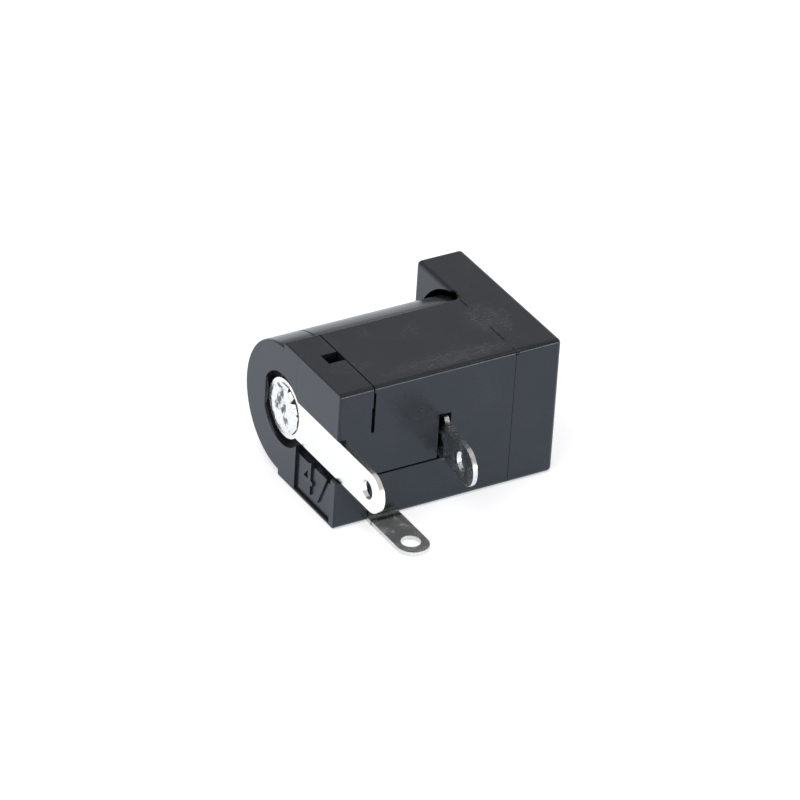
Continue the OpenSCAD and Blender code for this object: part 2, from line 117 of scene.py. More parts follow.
class Recipe:
    """Writes one node tree: a material's, the world's or a geometry group's.

    Attributes:
        PATCH_FULL: share of a patch's reach that it covers wholly.
        PATCH_GRAIN: size of the noise that frays a patch, over the patch's least reach.
        PATCH_FRAY: how strongly that noise moves a patch's edge.
    """

    PATCH_FULL: float = 0.45
    PATCH_GRAIN: float = 0.6
    PATCH_FRAY: float = 4.0

    def __init__(self, tree: bpy.types.NodeTree) -> None:
        """Starts from an empty tree.

        Args:
            tree: the tree to fill.
        """
        self.tree = tree
        tree.nodes.clear()

    def add(self, kind: str, inputs: Optional[dict[Union[str, int], Value]] = None,
            **settings: object) -> bpy.types.Node:
        """Adds a node.

        Args:
            kind: the node's type name.
            inputs: a constant or an output socket for each input, by name or number.
            settings: properties of the node itself.

        Returns:
            The new node.
        """
        node = self.tree.nodes.new(kind)
        for name, value in settings.items():
            setattr(node, name, value)
        for key, value in (inputs or {}).items():
            socket = node.inputs[key]
            if isinstance(value, bpy.types.NodeSocket):
                self.tree.links.new(value, socket)
            elif isinstance(value, tuple) and len(value) == 3 and socket.type == "RGBA":
                socket.default_value = (*value, 1.0)
            else:
                socket.default_value = value
        return node

    def place(self) -> bpy.types.NodeSocket:
        """Returns the socket that gives a point's place in the part's own frame."""
        return self.add("ShaderNodeTexCoord").outputs["Object"]

    def noise(self, size: float, detail: float = 2.0, stretch: Triple = (1.0, 1.0, 1.0),
              shift: Triple = (0.0, 0.0, 0.0)) -> bpy.types.NodeSocket:
        """Adds a noise pattern.

        Args:
            size: length of one feature of the pattern.
            detail: number of finer layers.
            stretch: how much longer the features are along each axis.
            shift: moves the pattern, so that two of them differ.

        Returns:
            The noise as a value about 0.5.
        """
        scale = tuple(1.0 / (size * s) for s in stretch)
        mapped = self.add("ShaderNodeMapping", {
            "Vector": self.place(), "Location": shift, "Scale": scale}).outputs[0]
        made = self.add("ShaderNodeTexNoise", {"Vector": mapped, "Scale": 1.0, "Detail": detail})
        return made.outputs[0]

    def span(self, value: Value, low: float, high: float, to_low: Value = 0.0,
             to_high: Value = 1.0) -> bpy.types.NodeSocket:
        """Maps a value from one range to another, and clamps it there."""
        made = self.add("ShaderNodeMapRange", {0: value, 1: low, 2: high, 3: to_low, 4: to_high})
        return made.outputs[0]

    def math(self, operation: str, a: Value, b: Value = 0.0) -> bpy.types.NodeSocket:
        """Combines two values by a math operation."""
        return self.add("ShaderNodeMath", {0: a, 1: b}, operation=operation).outputs[0]

    def mix(self, factor: Value, a: Value, b: Value) -> bpy.types.NodeSocket:
        """Mixes two colours by a factor."""
        return self.add("ShaderNodeMix", {0: factor, 6: a, 7: b}, data_type="RGBA").outputs[2]

    def patch(self, centre: Triple, reach: Triple, ragged: float = 0.25) -> bpy.types.NodeSocket:
        """Adds a soft ragged patch about one place.

        Args:
            centre: the middle of the patch.
            reach: how far it reaches along each axis.
            ragged: how much a noise frays its edge.

        Returns:
            A mask that is 1 in the middle and 0 outside.
        """
        kind = "ShaderNodeVectorMath"
        away = self.add(kind, {0: self.place(), 1: centre}, operation="SUBTRACT").outputs[0]
        scaled = self.add(kind, {0: away, 1: reach}, operation="DIVIDE").outputs[0]
        length = self.add(kind, {0: scaled}, operation="LENGTH").outputs[1]
        grain = self.math("SUBTRACT", self.noise(min(reach) * self.PATCH_GRAIN, 2.0), 0.5)
        fray = self.math("MULTIPLY", grain, self.PATCH_FRAY * ragged)
        return self.span(self.math("ADD", length, fray), self.PATCH_FULL, 1.0, 1.0, 0.0)

    def largest(self, masks: list[bpy.types.NodeSocket]) -> bpy.types.NodeSocket:
        """Joins several masks by their largest value.

        Args:
            masks: the masks, at least one.

        Returns:
            The joined mask.
        """
        joined = masks[0]
        for mask in masks[1:]:
            joined = self.math("MAXIMUM", joined, mask)
        return joined

    def bump(self, height: Value, depth: float) -> bpy.types.NodeSocket:
        """Adds a bump whose height runs from 0 to 1 over a depth, and returns its normal."""
        return self.add("ShaderNodeBump", {
            "Height": height, "Distance": depth, "Strength": 1.0}).outputs[0]


def new_material(name: str) -> tuple[bpy.types.Material, Recipe]:
    """Makes an empty node material.

    Args:
        name: the material's name.

    Returns:
        The material, and the recipe that fills it.
    """
    material = bpy.data.materials.new(name)
    material.use_nodes = True
    return material, Recipe(material.node_tree)


# ---- Finishes ----------------------------------------------------------------------------------


@dataclass(frozen=True)
class Mark:
    """A place on a surface that a soft mask picks out, such as wear, a smudge, a sunk line and a patch
    of painted shade.
    """

    centre: Triple
    reach: Triple

    def mask(self, r: Recipe, ragged: float = 0.25) -> bpy.types.NodeSocket:
        """Adds the mark to a recipe, and returns its mask."""
        return r.patch(self.centre, self.reach, ragged)


@dataclass(frozen=True)
class MouldedPlastic:
    """Black moulded plastic with a satin skin, flow marks, specks, hairline scratches and two darker,
    rougher patches on the board side, one of them painted shade.

    The strengths are shares from 0 to 1. The depths of the scratches and of the gate line count in
    depths of the grain.
    """

    name: str = "satin_black_moulding"
    colour: Colour = (0.0120, 0.0125, 0.0145)
    dust: Colour = (0.085, 0.088, 0.095)
    grease_and_shade: Colour = (0.004, 0.004, 0.004)
    # Specular tint: a blue painted reflection colour that stands in for bluish light around the part.
    sheen: Colour = (0.80, 0.91, 1.0)
    roughness: float = 0.22
    index: float = 1.51
    grain: float = 0.09 * MM
    grain_depth: float = 0.0012 * MM
    flow: float = 2.6 * MM
    flow_tone: float = 1.3
    flow_roughness: float = 0.08
    speck: float = 0.16 * MM
    speck_strength: float = 0.35
    scratch: float = 0.05 * MM
    scratch_edge: float = 0.014
    scratch_strength: float = 0.6
    scratch_roughness: float = 0.12
    scratch_depth: float = 1.5
    wear: float = 2.2 * MM
    wear_strength: float = 0.5
    smudge_and_shade_strength: float = 0.7
    smudge_and_shade_roughness: float = 0.20
    scuffs: tuple[Mark, ...] = (
        Mark(in_mm(4.66, 0.4, 9.0), in_mm(1.7, 2.4, 0.6)),
        Mark(in_mm(0.6, -2.4, 9.0), in_mm(5.0, 0.9, 0.5)),
    )
    # Darker, rougher patches on the board side. The first is painted shade, a dim reflection of the
    # sleeve contact beside its slot; the second darkens the board side higher up.
    smudges_and_shade: tuple[Mark, ...] = (
        Mark(in_mm(-1.2, -3.4, 4.2), in_mm(0.5, 0.4, 0.6)),
        Mark(in_mm(-2.6, -3.4, 7.0), in_mm(0.9, 0.4, 0.9)),
    )
    gate_line: Mark = Mark(in_mm(-7.35, 1.375, 7.7), in_mm(0.4, 0.045, 2.4))
    gate_ragged: float = 0.05
    gate_depth: float = 9.0

    def build(self) -> bpy.types.Material:
        """Builds the material.

        Returns:
            The finished material.
        """
        material, r = new_material(self.name)
        flow = r.span(r.noise(self.flow, 2.0, (1.0, 2.0, 1.0)), 0.3, 0.7)
        smudged_and_shaded = r.largest([mark.mask(r) for mark in self.smudges_and_shade])
        specks = r.span(r.noise(self.speck, 1.0, shift=(3.1, 0.4, 7.7)), 0.70, 0.80)
        scratches = self.scratches(r)
        marks = r.math("MAXIMUM", r.math("MULTIPLY", specks, self.speck_strength),
                       r.math("MULTIPLY", scratches, self.scratch_strength))
        clean = r.mix(flow, self.colour, tuple(self.flow_tone * c for c in self.colour))
        # Darkens the board side's patches: a smudge and a painted shade.
        greasy_and_shaded = r.mix(r.math("MULTIPLY", smudged_and_shaded, self.smudge_and_shade_strength), clean, self.grease_and_shade)
        uneven = r.math("ADD", r.math("MULTIPLY", flow, self.flow_roughness),
                        self.roughness - 0.5 * self.flow_roughness)
        rough = r.math("ADD", uneven, r.math("MULTIPLY", smudged_and_shaded, self.smudge_and_shade_roughness))
        dull = r.math("MULTIPLY", scratches, self.scratch_roughness)
        shader = r.add("ShaderNodeBsdfPrincipled", {
            "Base Color": r.mix(marks, greasy_and_shaded, self.dust),
            "Roughness": r.math("ADD", rough, dull),
            "IOR": self.index,
            "Specular Tint": self.sheen,
            "Normal": r.bump(self.relief(r, scratches), self.grain_depth),
        })
        r.add("ShaderNodeOutputMaterial", {"Surface": shader.outputs[0]})
        return material

    def relief(self, r: Recipe, scratches: bpy.types.NodeSocket) -> bpy.types.NodeSocket:
        """Adds the fine relief: the grain, less the scratches and the sunk gate line.

        Args:
            r: the material's recipe.
            scratches: the mask of the scratches.

        Returns:
            The height, in depths of the grain.
        """
        grain = r.noise(self.grain, 3.0)
        gate = self.gate_line.mask(r, self.gate_ragged)
        scratched = r.math("SUBTRACT", grain, r.math("MULTIPLY", scratches, self.scratch_depth))
        return r.math("SUBTRACT", scratched, r.math("MULTIPLY", gate, self.gate_depth))

    def scratches(self, r: Recipe) -> bpy.types.NodeSocket:
        """Adds the scratches: plain on the scuffed places, and faint in a few worn ones.

        Args:
            r: the material's recipe.

        Returns:
            A mask that is 1 on the plainest scratches.
        """
        scuffed = r.largest([mark.mask(r) for mark in self.scuffs])
        worn = r.span(r.noise(self.wear, 1.0, shift=(9.0, 2.0, 5.0)), 0.52, 0.66)
        faint = r.math("MULTIPLY", worn, self.wear_strength)
        return r.math("MULTIPLY", self.hairlines(r), r.math("MAXIMUM", faint, scuffed))

    def hairlines(self, r: Recipe) -> bpy.types.NodeSocket:
        """Adds two layers of hairlines that run mostly along the length.

        Args:
            r: the material's recipe.

        Returns:
            A mask that is 1 on the hairlines.
        """
        layers = (
            ((26.0, 1.0, 1.0), (0.0, 0.0, 0.0)),
            ((12.0, 1.6, 1.6), (5.0, 3.0, 1.0)),
        )
        lines = []
        for stretch, shift in layers:
            wave = r.noise(self.scratch, 1.0, stretch, shift)
            off_middle = r.math("ABSOLUTE", r.math("SUBTRACT", wave, 0.5))
            lines.append(r.span(off_middle, 0.0, self.scratch_edge, 1.0, 0.0))
        return r.largest(lines)


@dataclass(frozen=True)
class PlatedMetal:
    """Bright plating over rolled sheet or a turned bar, with pits, specks and glints, and near-black
    patches of painted shade.

    The pit share runs from 0, where pits are rare, to 1, where they take about half the surface.
    """

    name: str
    colour: Colour
    stain: Colour
    roughness: float
    pit: float
    pit_share: float
    dent_depth: float
    glint: float = 0.0
    cloud: float = 0.9 * MM
    # Near-black patches of painted shade: shade and dim reflections in the rolled head, and shade where
    # the terminals fold.
    painted_shade: tuple[Mark, ...] = ()
    painted_shade_colour: Colour = (0.07, 0.07, 0.06)
    painted_shade_strength: float = 0.9
    painted_shade_ragged: float = 0.50

    def build(self) -> bpy.types.Material:
        """Builds the material.

        Returns:
            The finished material.
        """
        material, r = new_material(self.name)
        pit_edge = 0.5 + 0.22 * (1.0 - self.pit_share)
        pits = r.span(r.noise(self.pit, 2.0), pit_edge, pit_edge + 0.08)
        cloud = r.noise(self.cloud, 3.0, shift=(4.0, 1.0, 2.0))
        marks = r.math("MULTIPLY", pits, r.span(cloud, 0.35, 0.65, 0.35, 1.0))
        tone = r.mix(marks, self.colour, self.stain)
        # Darkens the patches of painted shade towards their near-black colour.
        if self.painted_shade:
            painted_shade_mask = r.largest([mark.mask(r, self.painted_shade_ragged) for mark in self.painted_shade])
            tone = r.mix(r.math("MULTIPLY", painted_shade_mask, self.painted_shade_strength), tone, self.painted_shade_colour)
        fine = r.noise(self.pit * 1.3, 2.0, (2.2, 1.0, 1.0), shift=(7.0, 5.0, 3.0))
        glints = r.math("MULTIPLY", r.span(fine, 0.60, 0.66), r.span(cloud, 0.42, 0.60))
        dents = r.math("ADD", r.noise(self.pit * 2.2, 2.0), r.math("MULTIPLY", glints, self.glint))
        shader = r.add("ShaderNodeBsdfPrincipled", {
            "Base Color": tone,
            "Metallic": 1.0,
            "Roughness": r.math("ADD", r.span(cloud, 0.3, 0.7, -0.03, 0.05), self.roughness),
            "Normal": r.bump(dents, self.dent_depth),
        })
        r.add("ShaderNodeOutputMaterial", {"Surface": shader.outputs[0]})
        return material


@dataclass(frozen=True)
class TableTop:
    """The plain pale surface that the jack lies on.

    The camera and the reflections each see it in a tone of their own, and it lights the part in
    its plain colour.
    """

    name: str = "pale_table"
    colour: Colour = (0.86, 0.86, 0.86)
    shown_colour: Colour = WHITE
    shown_lift: Colour = (0.45, 0.45, 0.45)
    mirrored_lift: Colour = (0.40, 0.46, 0.54)
    cloud: float = 3.0 * MM
    cloud_tone: float = 0.985

    def build(self) -> bpy.types.Material:
        """Builds the material.

        Returns:
            The finished material.
        """
        material, r = new_material(self.name)
        path = r.add("ShaderNodeLightPath").outputs
        shown = r.mix(path["Is Camera Ray"], BLACK, self.shown_lift)
        mirrored = r.math("MAXIMUM", path["Is Glossy Ray"], path["Is Transmission Ray"])
        cloud = r.span(r.noise(self.cloud, 2.0), 0.3, 0.7, self.cloud_tone, 1.0)
        seen = r.mix(path["Is Camera Ray"], self.colour, self.shown_colour)
        plain = r.add("ShaderNodeBsdfDiffuse", {"Color": r.mix(cloud, BLACK, seen)})
        lift = r.add("ShaderNodeEmission", {
            "Color": r.mix(mirrored, shown, self.mirrored_lift), "Strength": 1.0})
        both = r.add("ShaderNodeAddShader", {0: plain.outputs[0], 1: lift.outputs[0]})
        r.add("ShaderNodeOutputMaterial", {"Surface": both.outputs[0]})
        return material


# ---- Meshes ------------------------------------------------------------------------------------


def link(name: str, data: bpy.types.ID) -> bpy.types.Object:
    """Links data to the scene as a new object.

    Args:
        name: the object's name.
        data: its mesh, outline, lamp or camera.

    Returns:
        The new object.
    """
    piece = bpy.data.objects.new(name, data)
    bpy.context.scene.collection.objects.link(piece)
    return piece


def link_mesh(name: str, work: bmesh.types.BMesh) -> bpy.types.Object:
    """Ends a mesh under construction, and links it to the scene.

    Args:
        name: the new piece's name.
        work: the mesh under construction, which is freed.

    Returns:
        The new piece.
    """
    mesh = bpy.data.meshes.new(name)
    work.to_mesh(mesh)
    work.free()
    return link(name, mesh)


def plain_copy(node: Node, name: str, flat_deg: float = 0.3) -> bpy.types.Object:
    """Copies a solid's mesh as one closed skin.

    Args:
        node: the solid to copy.
        name: the new piece's name.
        flat_deg: faces that differ by less than this angle are joined.

    Returns:
        The new piece, linked to the scene.
    """
    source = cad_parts[node.value]
    work = bmesh.new()
    work.from_mesh(source.data)
    bmesh.ops.remove_doubles(work, verts=work.verts, dist=WELD)
    bmesh.ops.dissolve_limit(work, angle_limit=math.radians(flat_deg), verts=work.verts,
                             edges=work.edges)
    return link_mesh(name, work)


def smooth(piece: bpy.types.Object, crease_deg: float = 24.0) -> None:
    """Shades a piece so that its curves are smooth, its flats flat and its creases crisp.

    Args:
        piece: the piece to shade.
        crease_deg: the least angle between two faces that makes a crease.
    """
    mesh = piece.data
    mesh.shade_smooth()
    alike = math.cos(math.radians(crease_deg))
    around: list[list[int]] = [[] for _ in mesh.vertices]
    for face in mesh.polygons:
        for vertex in face.vertices:
            around[vertex].append(face.index)
    facing = [face.normal.copy() for face in mesh.polygons]
    weight = [(face.area / MM ** 2) ** 2 + FAINT for face in mesh.polygons]
    corners = []
    for face in mesh.polygons:
        own = facing[face.index]
        for vertex in face.vertices:
            total = own * FAINT
            for other in around[vertex]:
                if facing[other].dot(own) > alike:
                    total += facing[other] * weight[other]
            corners.append(total.normalized())
    mesh.normals_split_custom_set(corners)


def cut_across(work: bmesh.types.BMesh, axis: int, level: float, least_x: float) -> None:
    """Splits the faces that cross a plane, where they lie past a given X.

    Args:
        work: the mesh under construction.
        axis: the number of the axis that the plane is square to.
        level: where the plane meets that axis.
        least_x: a face whose middle lies before this X stays whole.
    """
    normal = Vector((0.0, 0.0, 0.0))
    normal[axis] = 1.0
    faces = [f for f in work.faces if f.calc_center_median().x > least_x - NEAR
             and min(v.co[axis] for v in f.verts) < level - NEAR
             and max(v.co[axis] for v in f.verts) > level + NEAR]
    edges = {e for f in faces for e in f.edges}
    corners = {v for f in faces for v in f.verts}
    bmesh.ops.bisect_plane(work, geom=[*faces, *edges, *corners], dist=NEAR,
                           plane_co=normal * level, plane_no=normal)


def round_corners(piece: bpy.types.Object, low: Vector, high: Vector, radius: float,
                  rings: int = 4) -> None:
    """Turns the mitred corners of a rounded block into balls.

    Args:
        piece: the piece that the block is part of.
        low: the block's lowest corner.
        high: the block's highest corner.
        radius: the rounding of the block's edges.
        rings: number of cuts across each corner.
    """
    work = bmesh.new()
    work.from_mesh(piece.data)
    for axis in range(3):
        for k in range(1, rings + 1):
            depth = radius * math.cos(0.5 * math.pi * k / rings)
            for level in (low[axis] + radius - depth, high[axis] - radius + depth):
                cut_across(work, axis, level, low.x)
    for vertex in work.verts:
        if vertex.co.x < low.x - NEAR:
            continue
        inner = Vector(tuple(
            min(max(c, a + radius), b - radius) for c, a, b in zip(vertex.co, low, high)))
        out = vertex.co - inner
        if sum(abs(c) > NEAR for c in out) == 3 and out.length > radius:
            vertex.co = inner + out.normalized() * radius
    work.to_mesh(piece.data)
    work.free()


def solid_from_rings(name: str, rings: list[list[Vector]]) -> bpy.types.Object:
    """Builds a closed solid from a row of outlines with equal numbers of points.

    Args:
        name: the new piece's name.
        rings: the outlines, from one end to the other.

    Returns:
        The new piece, linked to the scene.
    """
    work = bmesh.new()
    rows = [[work.verts.new(point) for point in ring] for ring in rings]
    for row, after in zip(rows, rows[1:]):
        for n in range(len(row)):
            m = (n + 1) % len(row)
            work.faces.new((row[n], row[m], after[m], after[n]))
    work.faces.new(rows[0])
    work.faces.new(rows[-1])
    bmesh.ops.recalc_face_normals(work, faces=work.faces)
    return link_mesh(name, work)


def cut_away(piece: bpy.types.Object, cutter: bpy.types.Object) -> None:
    """Cuts one solid out of another, and removes the cutter.

    Args:
        piece: the piece to cut.
        cutter: the solid to take away.
    """
    cut = piece.modifiers.new("cut", "BOOLEAN")
    cut.operation = "DIFFERENCE"
    cut.solver = "MANIFOLD"
    cut.object = cutter
    settle(piece)
    bpy.data.objects.remove(cutter)


def round_creases(piece: bpy.types.Object, width: float, crease_deg: float = 24.0) -> None:
    """Rounds every crease of a piece by a bevel, and keeps the result as its plain mesh.

    Args:
        piece: the piece to round.
        width: the rounding's width.
        crease_deg: the least angle between two faces that counts as a crease.
    """
    bevel = piece.modifiers.new("rounding", "BEVEL")
    bevel.width = width
    bevel.segments = 2
    bevel.limit_method = "ANGLE"
    bevel.angle_limit = math.radians(crease_deg)
    bevel.use_clamp_overlap = True
    bevel.harden_normals = False
    settle(piece)


def settle(piece: bpy.types.Object) -> None:
    """Turns a piece and its modifiers into a plain mesh without modifiers.

    Args:
        piece: the piece to settle.
    """
    graph = bpy.context.evaluated_depsgraph_get()
    made = bpy.data.meshes.new_from_object(piece.evaluated_get(graph))
    piece.modifiers.clear()
    piece.data = made


def dress(piece: bpy.types.Object, material: bpy.types.Material) -> None:
    """Gives every face of a piece one material."""
    piece.data.materials.clear()
    piece.data.materials.append(material)


def hand_over(piece: bpy.types.Object, node: Optional[Node] = None) -> None:
    """Lets a piece ride on the part, and hides the solid that it replaces.

    Args:
        piece: the finished piece.
        node: the solid that it replaces, if any.
    """
    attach(piece, BODY)
    if node is not None:
        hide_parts(node.value)
    LOG.info("%s: %d faces", piece.name, len(piece.data.polygons))


def add_filling(name: str, rings: list[list[Vector]], material: bpy.types.Material) -> None:
    """Builds one filling of the mouldings, a closed solid, and hands it over.

    Args:
        name: the filling's name.
        rings: its outlines, from one end to the other.
        material: the mouldings' finish.
    """
    piece = solid_from_rings(name, rings)
    dress(piece, material)
    hand_over(piece)


# ---- Sub-assemblies ----------------------------------------------------------------------------


@dataclass
class PadDigits:
    """Plain raised digits on the sunk pad of the rear face, and the pad's shallower floor."""

    digits: str = "47"
    height: float = 2.2 * MM
    size_over_height: float = 1.4
    raised: float = 0.12 * MM
    pad_depth: float = 0.38 * MM
    floor_depth: float = 0.15 * MM
    floor_y: tuple[float, float] = (0.58 * MM, 4.62 * MM)
    floor_z: tuple[float, float] = (0.20 * MM, 2.60 * MM)
    from_board_side: float = 2.55 * MM
    above_table: float = 0.72 * MM

    def build(self, material: bpy.types.Material) -> None:
        """Builds the digits, then the floor that they stand on.

        Args:
            material: the mouldings' finish.
        """
        rear_x = CAD_BOX[0][0]
        board_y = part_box(Node.HOUSING.value)[0][1]
        self.raise_digits(rear_x, board_y, material)
        self.lay_floor(rear_x, board_y, material)

    def raise_digits(self, rear_x: float, board_y: float, material: bpy.types.Material) -> None:
        """Builds the digits as one mesh, which runs along -Y and faces -X.

        Args:
            rear_x: the rear face's X.
            board_y: the board side's Y.
            material: the mouldings' finish.
        """
        curve = bpy.data.curves.new("pad_digits_outline", "FONT")
        curve.body = self.digits
        curve.size = self.height * self.size_over_height
        curve.extrude = self.raised
        curve.align_x = "CENTER"
        text = link("pad_digits_outline", curve)
        graph = bpy.context.evaluated_depsgraph_get()
        mesh = bpy.data.meshes.new_from_object(text.evaluated_get(graph))
        bpy.data.objects.remove(text)
        turn = Matrix(((0, 0, -1), (-1, 0, 0), (0, 1, 0))).to_4x4()
        spot = Vector((rear_x + self.floor_depth, board_y + self.from_board_side, self.above_table))
        mesh.transform(Matrix.Translation(spot) @ turn)
        piece = link("pad_digits", mesh)
        dress(piece, material)
        hand_over(piece)

    def lay_floor(self, rear_x: float, board_y: float, material: bpy.types.Material) -> None:
        """Fills the pad's recess up to the shallower floor.

        Args:
            rear_x: the rear face's X.
            board_y: the board side's Y.
            material: the mouldings' finish.
        """
        near_y, far_y = self.floor_y
        outline = ((self.floor_depth, near_y), (self.pad_depth, near_y),
                   (self.pad_depth, far_y), (self.floor_depth, far_y))
        rings = [[Vector((rear_x + deep, board_y + y, z)) for deep, y in outline] for z in self.floor_z]
        add_filling("pad_floor", rings, material)


@dataclass
class FlangeGroove:
    """The shadow gap between the barrel and the flange, near the flat sides.

    It is cut into the flange, runs around the barrel between two angles from the flat side, and
    grows narrower and less undercut on the way.
    """

    axis_y: float
    axis_z: float
    flange_x: float
    barrel_r: float
    depth: float = 2.40 * MM
    width: float = 0.03 * MM
    narrowing: float = 0.9
    bite: float = 0.03 * MM
    undercut: float = 0.85 * MM
    wall: float = 0.14 * MM
    first_deg: float = 10.0
    last_deg: float = 58.0
    steps: int = 24

    def cut(self, piece: bpy.types.Object) -> None:
        """Cuts the gap on both sides of the barrel.

        Args:
            piece: the housing's piece.
        """
        for side in (1.0, -1.0):
            rings = [self.section(k, side) for k in range(self.steps + 1)]
            cut_away(piece, solid_from_rings("groove_cutter", rings))

    def section(self, k: int, side: float) -> list[Vector]:
        """Works out the gap's outline at one step around the barrel.

        Args:
            k: the step.
            side: 1 for the upper flat side, -1 for the lower one.

        Returns:
            The outline's four corners.
        """
        share = k / self.steps
        angle = math.radians(self.first_deg + share * (self.last_deg - self.first_deg))
        inner = self.barrel_r - self.bite - self.undercut * (1.0 - share ** 3)
        widest = self.barrel_r + self.width * (1.0 - self.narrowing * share)
        outer = min(widest, (self.barrel_r - self.wall) / math.cos(angle))
        corners = ((0.0, inner), (self.depth, inner), (self.depth, outer), (0.0, outer))
        return [Vector((self.flange_x + deep, self.axis_y + reach * math.sin(angle),
                        self.axis_z + side * reach * math.cos(angle))) for deep, reach in corners]


@dataclass
class Mouldings:
    """The housing and the rear cap."""

    finish: MouldedPlastic = field(default_factory=MouldedPlastic)
    flange_t: float = 3.1 * MM
    flange_r: float = 0.3 * MM
    witness_w: float = 0.07 * MM
    witness_t: float = 0.05 * MM
    witness_left: float = 0.003 * MM
    board_fill: float = 0.022 * MM
    filled: tuple[tuple[float, float], ...] = ((-0.5 * MM, 2.1 * MM), (-3.0 * MM, -2.1 * MM))

    def build(self) -> None:
        """Dresses both mouldings, fills the witness line and adds the digits on the pad."""
        material = self.finish.build()
        for node in (Node.HOUSING, Node.REAR_CAP):
            piece = plain_copy(node, f"{node.value}_skin")
            if node is Node.HOUSING:
                self.shape_flange(piece)
            smooth(piece)
            dress(piece, material)
            hand_over(piece, node)
        self.fill_witness(material)
        PadDigits().build(material)

    def shape_flange(self, piece: bpy.types.Object) -> None:
        """Rounds the flange's corners and cuts the gap between it and the barrel.

        Args:
            piece: the housing's piece.
        """
        low, high = (Vector(corner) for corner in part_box(Node.HOUSING.value))
        low.x = high.x - self.flange_t
        pin_low, pin_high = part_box(Node.CENTER_PIN.value)
        round_corners(piece, low, high, self.flange_r)
        groove = FlangeGroove(
            axis_y=0.5 * (pin_low[1] + pin_high[1]),
            axis_z=0.5 * (low.z + high.z),
            flange_x=low.x,
            barrel_r=0.5 * (high.z - low.z),
        )
        groove.cut(piece)

    def fill_witness(self, material: bpy.types.Material) -> None:
        """Fills the witness line where it has worn away, and part of its depth on the board side.

        Args:
            material: the mouldings' finish.
        """
        low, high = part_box(Node.HOUSING.value)
        line_x = high[0] - self.flange_t
        outline = self.band(-self.witness_t, -self.witness_left)
        for number, ends in enumerate(self.filled):
            rings = [[Vector((line_x + a, y, high[2] + b)) for a, b in outline] for y in ends]
            add_filling(f"witness_fill_{number}", rings, material)
        outline = self.band(self.board_fill, self.witness_t)
        ends = (low[2] + self.flange_r, high[2] - self.flange_r)
        rings = [[Vector((line_x + a, low[1] + b, z)) for a, b in outline] for z in ends]
        add_filling("witness_fill_board", rings, material)

    def band(self, first: float, last: float) -> tuple[tuple[float, float], ...]:
        """Returns an outline as wide as the witness line, from one level to another."""
        half = 0.5 * self.witness_w
        return ((-half, first), (half, first), (half, last), (-half, last))


@dataclass(frozen=True)
class Dent:
    """A round hollow in the rivet's core, with every value in millimetres."""

    across: float
    up: float
    width: float
    depth: float

    def at(self, across: float, up: float) -> float:
        """Returns how deep the hollow is at one place."""
        away = (across - self.across) ** 2 + (up - self.up) ** 2
        return self.depth * math.exp(-away / (self.width * self.width) * 2.0)


